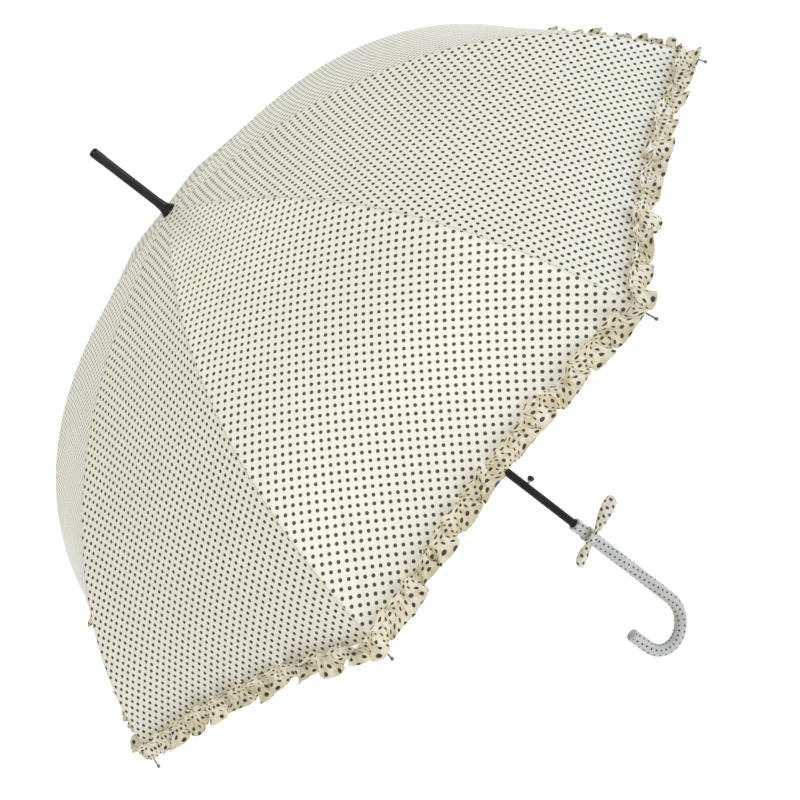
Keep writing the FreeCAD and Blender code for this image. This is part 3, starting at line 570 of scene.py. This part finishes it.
class Gathers:
    """The folds of one edge of the gathered strip, all round the hem: broad lobes, narrow folds between."""

    def __init__(self, seed, wavelength, height, pleat=0.19, span=0.0):
        even = 2 * math.pi * np.arange(RING_COUNT) / RING_COUNT
        waves = round(RING / wavelength)
        phase = waves * even + 2.6 * smooth_noise(RING_COUNT, seed, wavelength * 3, RING)
        size = 1 + 0.5 * smooth_noise(RING_COUNT, seed + 1, wavelength * 2.2, RING)
        lean = np.tanh(3 * smooth_noise(RING_COUNT, seed + 2, wavelength * 3, RING))
        base = smooth_noise(RING_COUNT, seed + 3, wavelength * 1.2, RING)
        self.crest = (0.5 - 0.5 * np.cos(phase)) ** 0.8
        self.rise = height * (size * (self.crest - 0.35 * lean * np.sin(phase)) + 0.15 * base)
        self.shift = wavelength * size * (0.05 * np.sin(2 * phase) - pleat * np.sin(phase))
        self.height = height
        self.span = 1 + span * smooth_noise(RING_COUNT, seed + 4, wavelength * 1.7, RING)


INNER = Gathers(21, 30 * MM, 10.5 * MM, 0.17, 0.4)
OUTER = Gathers(31, 35 * MM, 13 * MM, span=0.3)
STITCHED = Gathers(41, 8 * MM, 2.0 * MM, 0.1)
CRUMPLE = [smooth_noise(RING_COUNT, 51 + number, 11 * MM, RING) for number in range(2)]
FINE = [smooth_noise(RING_COUNT, 71 + number, 5 * MM, RING) for number in range(2)]


def drift(pair, turned):
    """A noise along the strip that changes slowly from row to row."""
    return pair[0] * math.cos(turned) + pair[1] * math.sin(turned)


def ruffle_points(kite):
    """The strip's points over one kite: rows from its inner edge, over the stitches, to its outer edge."""
    columns = (kite * RUFFLE_COLUMNS + np.arange(RUFFLE_COLUMNS + 1)) % RING_COUNT
    at = np.linspace(0, KITE_HEM, RUFFLE_COLUMNS + 1)
    rows = []
    for row in range(RUFFLE_ROWS):
        across = 2 * row / (RUFFLE_ROWS - 1) - 1
        edge = INNER if across < 0 else OUTER
        far = abs(across)
        turn = far * far * (3 - 2 * far)
        rise = edge.rise[columns] * far**1.2 + STITCHED.rise[columns] * (1 - turn) * 0.9
        centred = 0.0 if across < 0 else 0.36 * edge.height
        crumples = CRUMPLE_HEIGHT * drift(CRUMPLE, 1.9 * across) + FINE_HEIGHT * drift(FINE, 3 * across)
        rise = rise - centred * turn + crumples[columns] * (0.3 + far)
        shift = edge.shift[columns] * turn + STITCHED.shift[columns] * (1 - turn)
        reach = far * (RUFFLE_INNER if across < 0 else RUFFLE_OUTER) * edge.span[columns]
        flat = np.sqrt(np.clip(1 - (rise / (reach + 3 * MM)) ** 2, 0.22, 1)) * reach
        flat = flat * (1 - LOBES * (1 - edge.crest[columns]) * turn)
        f = np.interp(at + shift, HEM_AT, HEM_F)
        over = (at + shift) - np.clip(at + shift, 0, KITE_HEM)
        here, out, off, along = hem_line(kite, f)
        near_tip = np.exp(-((f / OFF_RIB_TIP) ** 2))
        rise = np.where(rise < 0, rise * (1 - near_tip), rise)
        lift = STRIP_LIFT + np.where(across < 0, np.maximum(rise, STRIP_CLEARANCE), rise)
        outward = out * (math.copysign(1, across) * flat)[:, None]
        rows.append(here + outward + off * lift[:, None] + along * over[:, None])
    return np.stack(rows)


def make_ruffle(kite):
    """The gathered strip over one kite."""
    points = ruffle_points(kite)
    flat_step = KITE_HEM * FULLNESS / RUFFLE_COLUMNS

    def cloth_uv(row, column, first_column):
        along_strip = column * flat_step + kite * STRIP_PRINT_SHIFT
        return np.stack([along_strip, row * RUFFLE_WIDTH / (RUFFLE_ROWS - 1)], -1)

    piece = grid_piece(f"ruffle_strip_{kite + 1}", turn_to(points, kite), {"cloth": cloth_uv}, [RUFFLE])
    thicken(piece, STRIP_THICKNESS)
    return piece


for kite in range(RIBS):
    strip = make_ruffle(kite)
    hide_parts(f"ruffle_{kite + 1}")
    fold_with_rib(strip, f"rib_{kite + 1}")


# ------------------------------------------------------------------ handle wrap
HANDLE_TOP, HOOK_START, HOOK_RADIUS, HOOK_LEG = 90 * MM, -77.5 * MM, 34 * MM, 28 * MM
WRAP_RADIUS = 8.0 * MM
CORE_RADIUS = 7.65 * MM
WRAP_ROWS, WRAP_COLUMNS = 330, 56
WRAP_STEP = 2 * math.pi * WRAP_RADIUS / WRAP_COLUMNS
# the film's lapped edge runs down the handle's back
LAP_COLUMN = WRAP_COLUMNS // 4
LIP_DEPTH, LIP_ROUND = 0.3 * MM, 0.25 * MM
UNEVEN_HEIGHT, UNEVEN_LENGTH, UNEVEN_TWIST = 0.05 * MM, 0.0053, 0.021
END_ROUND, END_ROUND_LENGTH, END_ROWS = 3.2 * MM, 2.2 * MM, 10
END_CAP_SHARES, END_CAP_RISE = (0.6, 0.3, 0.0), 0.25 * MM


def handle_line(count):
    """Points down the handle's middle line, the direction at each, and the length so far."""
    straight = HANDLE_TOP - HOOK_START
    total = straight + math.pi * HOOK_RADIUS + HOOK_LEG
    at = np.linspace(0, total, count)
    turned = np.clip((at - straight) / HOOK_RADIUS, 0, math.pi)
    leg = np.clip(at - straight - math.pi * HOOK_RADIUS, 0, None)
    x = -HOOK_RADIUS + HOOK_RADIUS * np.cos(turned)
    z = np.where(at < straight, HANDLE_TOP - at, HOOK_START) - HOOK_RADIUS * np.sin(turned) + leg
    zero = np.zeros(count)
    direction = np.stack([-np.sin(turned), zero, -np.cos(turned)], -1)
    outward = np.stack([np.cos(turned), zero, -np.sin(turned)], -1)
    return np.stack([x, zero, z], -1), direction, outward, at


def make_wrap():
    """The printed film: a tube with a turned-in lip at its top and a rounded, closed lower end."""
    middle, direction, outward, at = handle_line(WRAP_ROWS)
    around = np.linspace(0, 2 * math.pi, WRAP_COLUMNS + 1)
    sideways = np.array([0.0, 1.0, 0.0])
    waves = np.sin(at / UNEVEN_LENGTH)[:, None] * np.sin(3 * around + at[:, None] / UNEVEN_TWIST)
    radius = WRAP_RADIUS - UNEVEN_HEIGHT + UNEVEN_HEIGHT * waves

    def ring(index):
        """The unit circle across the handle at one of its places."""
        return outward[index] * np.cos(around)[:, None] + sideways * np.sin(around)[:, None]

    lips = [middle[0] + ring(0) * lip_radius for lip_radius in (CORE_RADIUS, WRAP_RADIUS - LIP_ROUND)]
    # the straight tube stops where its rounded end begins
    tube = [index for index in range(len(at)) if at[index] <= at[-1] - END_ROUND_LENGTH]
    rows = lips + [middle[index] + ring(index) * radius[index][:, None] for index in tube]
    rows[len(lips)] += direction[0] * LIP_DEPTH
    for step in range(1, END_ROWS + 1):
        bend = 0.5 * math.pi * step / END_ROWS
        shrunk = WRAP_RADIUS - END_ROUND * (1 - math.cos(bend))
        lift = END_ROUND_LENGTH * (math.sin(bend) - 1)
        rows.append(middle[-1] + ring(-1) * shrunk + direction[-1] * lift)
    for share in END_CAP_SHARES:
        cap_radius = max(1e-6, (WRAP_RADIUS - END_ROUND) * share)
        rows.append(middle[-1] + ring(-1) * cap_radius + direction[-1] * END_CAP_RISE * (1 - share))
    lip_lengths = [-0.6 * MM, -0.3 * MM]
    end_lengths = at[-1] + np.linspace(0.2, 6, END_ROWS + len(END_CAP_SHARES)) * MM
    length = np.concatenate([lip_lengths, at[tube], end_lengths])

    def cloth_uv(row, column, first_column):
        past_lap = column - LAP_COLUMN + np.where(first_column < LAP_COLUMN, WRAP_COLUMNS, 0)
        return np.stack([past_lap * WRAP_STEP, length[row]], -1)

    def seam_uv(row, column, first_column):
        return np.stack([(column - LAP_COLUMN) * WRAP_STEP, length[row]], -1)

    return grid_piece("handle_wrap", np.stack(rows), {"cloth": cloth_uv, "seam": seam_uv}, [PRINT])


wrap = make_wrap()
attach(wrap, "shaft")
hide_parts("handle_cover")


# ------------------------------------------------------------------ bow
BOW_HEIGHT, BOW_ANGLE = 66 * MM, math.radians(-108)
KNOT_OUT = 13.4 * MM
BAND_RADIUS, BAND_HALF, BAND_LENGTH = 8.75 * MM, 4.6 * MM, 55 * MM
KNOT_RADIUS_UP, KNOT_RADIUS_OUT, KNOT_GIRTH = 5.6 * MM, 4.0 * MM, 30 * MM
LOOP_TILT, LOOP_START, LOOP_NECK, LOOP_DROOP = math.radians(10.6), 2.5 * MM, 2.0 * MM, 1.2 * MM
BOW_OUT = Vector((math.cos(BOW_ANGLE), math.sin(BOW_ANGLE), 0))
BOW_ALONG = Vector((-math.sin(BOW_ANGLE), math.cos(BOW_ANGLE), 0))
BOW_UP = Vector((0, 0, 1))


def bow_point(along, out, up):
    """A point of the bow: along its loops, out from the shaft's axis, and up from its middle."""
    return BOW_ALONG * along + BOW_OUT * out + BOW_UP * up + Vector((0, 0, BOW_HEIGHT))


def leaf_width(share, widest):
    """A loop's half width along its length: pinched at the knot, full past the middle, round at the end."""
    full = math.sin(math.pi * min(1, share * 0.82 + 0.02) ** 1.35)
    return LOOP_NECK + (widest - LOOP_NECK) * full ** 0.9


def make_loop(side, name, length, widest, tilt):
    """A flattened loop of ribbon: two layers that part in the middle, with creases from the knot."""
    draws = np.random.default_rng(5 + side)
    folds = draws.uniform(*PHASES, 3)
    rows, columns = 56, 48
    points = np.zeros((rows, columns + 1, 3))
    for row in range(rows):
        share = row / (rows - 1)
        half = leaf_width(share, widest)
        closing = math.sqrt(max(0.0, 1 - max(0, (share - 0.90) / 0.10) ** 2))
        half = half * closing + 0.02 * MM
        belly = (1.0 + 2.0 * math.sin(math.pi * share) ** 0.8) * MM * (0.25 + 0.75 * closing)
        for column in range(columns + 1):
            turn = 2 * math.pi * column / columns
            across, depth = math.cos(turn), math.sin(turn)
            crease = 0.45 * MM * math.exp(-share * 2.2) * math.sin(across * 6 + folds[0])
            crease += 0.30 * MM * math.sin(across * 4 + share * 7 + folds[1])
            crease += 0.22 * MM * math.sin(share * 26 + across * 3 + folds[2])
            square = math.copysign(abs(depth) ** 0.8, depth)
            out = belly * square + crease * (1 - abs(across) ** 4) * closing
            along = share * length
            up = half * across + along * math.tan(tilt)
            droop = LOOP_DROOP * math.sin(math.pi * share)
            points[row, column] = bow_point(side * (LOOP_START + along), KNOT_OUT + out - droop, up)

    def cloth_uv(row, column, first_column):
        round_loop = column / columns * widest * 4
        return np.stack([round_loop + LOOP_PRINT_SHIFT * side, row / (rows - 1) * length], -1)

    return grid_piece(name, points, {"cloth": cloth_uv}, [BOW])


def make_knot():
    """The pinched wrap round the bow's middle, with folds running across it."""
    rows, columns = 30, 40
    points = np.zeros((rows + 1, columns + 1, 3))
    for row in range(rows + 1):
        share = row / rows
        wide = -1 + 2 * share
        for column in range(columns + 1):
            turn = 2 * math.pi * column / columns
            swell = max(0.0, 1 - abs(wide) ** 2.6) ** 0.5
            groove = 0.42 * MM * math.sin(wide * 8 + 0.5 * math.sin(turn))
            groove += 0.25 * MM * math.sin(turn * 3 + wide * 4)
            radius_up = KNOT_RADIUS_UP * (0.35 + 0.65 * swell) + groove * swell
            radius_out = KNOT_RADIUS_OUT * (0.35 + 0.65 * swell) + groove * swell
            out = KNOT_OUT + 0.4 * MM + radius_out * math.sin(turn)
            up = radius_up * math.cos(turn) + 0.5 * MM * wide
            points[row, column] = bow_point(wide * BAND_HALF, out, up)

    def cloth_uv(row, column, first_column):
        return np.stack([row / rows * 2 * BAND_HALF, column / columns * KNOT_GIRTH], -1)

    return grid_piece("bow_knot_wrap", points, {"cloth": cloth_uv}, [BOW])


def make_band():
    """The ribbon round the handle, a little uneven, with one pleat along it."""
    rows, columns = 18, 96
    points = np.zeros((rows + 1, columns + 1, 3))
    for row in range(rows + 1):
        share = 2 * row / rows - 1
        for column in range(columns + 1):
            turn = 2 * math.pi * column / columns
            near_knot = math.exp(-((math.remainder(turn - BOW_ANGLE, 2 * math.pi)) / 0.5) ** 2)
            half = BAND_HALF * (1 - 0.45 * near_knot) + 0.25 * MM * math.sin(3 * turn)
            pleat = 0.28 * MM * math.sin(share * 5 + 0.6 * math.sin(2 * turn))
            pleat += 0.12 * MM * math.sin(turn * 9 + share * 3)
            radius = BAND_RADIUS + pleat + 2.6 * MM * near_knot
            up = BOW_HEIGHT + half * share
            points[row, column] = (radius * math.cos(turn), radius * math.sin(turn), up)

    def cloth_uv(row, column, first_column):
        return np.stack([column / columns * BAND_LENGTH, row / rows * 2 * BAND_HALF], -1)

    return thicken(grid_piece("bow_band_wrap", points, {"cloth": cloth_uv}, [BOW]), RIBBON_THICKNESS)


BOW_PIECES = [
    (make_loop(1, "bow_loop_right", 51 * MM, 9.5 * MM, LOOP_TILT), "bow_loops"),
    (make_loop(-1, "bow_loop_left", 35.5 * MM, 7 * MM, -LOOP_TILT), None),
    (make_knot(), "bow_knot"),
    (make_band(), "bow_band"),
]
for piece, replaced_node in BOW_PIECES:
    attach(piece, "shaft")
    if replaced_node:
        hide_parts(replaced_node)


# ------------------------------------------------------------------ camera, light and floor
APEX = Vector((0, 0, 0.700))
AZIMUTH, ELEVATION, ROLL = math.radians(-21.86), math.radians(21.799), math.radians(52.425)
DISTANCE, OFFSET_X, OFFSET_Y = 1.79315, -0.24305, 0.19895
SENSOR, IMAGE_WIDTH, FOCAL_PIXELS = 36, 800, 1707.3

flat_share, height_share = math.cos(ELEVATION), math.sin(ELEVATION)
toward = Vector((math.sin(AZIMUTH) * flat_share, -math.cos(AZIMUTH) * flat_share, height_share))
level = Vector((math.cos(AZIMUTH), math.sin(AZIMUTH), 0))
above = toward.cross(level)
right = math.cos(ROLL) * level - math.sin(ROLL) * above
up = math.sin(ROLL) * level + math.cos(ROLL) * above
camera = bpy.data.objects.new("camera", bpy.data.cameras.new("camera"))
camera.data.sensor_width = SENSOR
camera.data.lens = FOCAL_PIXELS * SENSOR / IMAGE_WIDTH
camera.data.clip_end = 100
camera_place = APEX - OFFSET_X * right - OFFSET_Y * up + DISTANCE * toward
camera_turn = Matrix((right, up, toward)).transposed().to_4x4()
camera.matrix_world = Matrix.Translation(camera_place) @ camera_turn
bpy.context.scene.collection.objects.link(camera)
bpy.context.scene.camera = camera


def area_light(name, place, target, size, power, colour):
    """A round lamp that faces its target."""
    lamp = bpy.data.lights.new(name, "AREA")
    lamp.shape = "DISK"
    lamp.size = size
    lamp.energy = power
    lamp.color = colour
    made = bpy.data.objects.new(name, lamp)
    made.location = place
    made.rotation_euler = (Vector(target) - Vector(place)).to_track_quat("-Z", "Y").to_euler()
    bpy.context.scene.collection.objects.link(made)


CENTRE = (0, 0, 0.5)
area_light("key", (-0.6, -1.9, 2.4), CENTRE, 1.2, 20.3, (1.0, 0.98, 0.987))
area_light("back", (0.49, 1.2, 2.85), CENTRE, 1.2, 7.8, (0.93, 1.0, 0.80))
area_light("side", (1.9, -1.9, 0.6), CENTRE, 1.2, 11, (0.40, 0.60, 1.0))

world = bpy.data.worlds.new("studio")
world.use_nodes = True
sky = world.node_tree.nodes["Background"]
sky.inputs["Color"].default_value = (1.0, 1.0, 1.0, 1)
sky.inputs["Strength"].default_value = 0.66
bpy.context.scene.world = world
bpy.context.scene.view_settings.view_transform = "Standard"

FLOOR_Z, FLOOR_HALF = -0.1205, 30
FLOOR_CORNERS = ((-1, -1), (1, -1), (1, 1), (-1, 1))
floor_mesh = bpy.data.meshes.new("floor")
floor_points = [(x * FLOOR_HALF, y * FLOOR_HALF, FLOOR_Z) for x, y in FLOOR_CORNERS]
floor_mesh.from_pydata(floor_points, [], [(0, 1, 2, 3)])
floor = bpy.data.objects.new("floor", floor_mesh)
bpy.context.scene.collection.objects.link(floor)
floor_finish = Finish("floor")
floor_finish.set(
    Base_Color=(0.95, 0.95, 0.95, 1), Roughness=0.9, Emission_Color=(1, 1, 1, 1), Emission_Strength=0.50)
floor_mesh.materials.append(floor_finish.material)
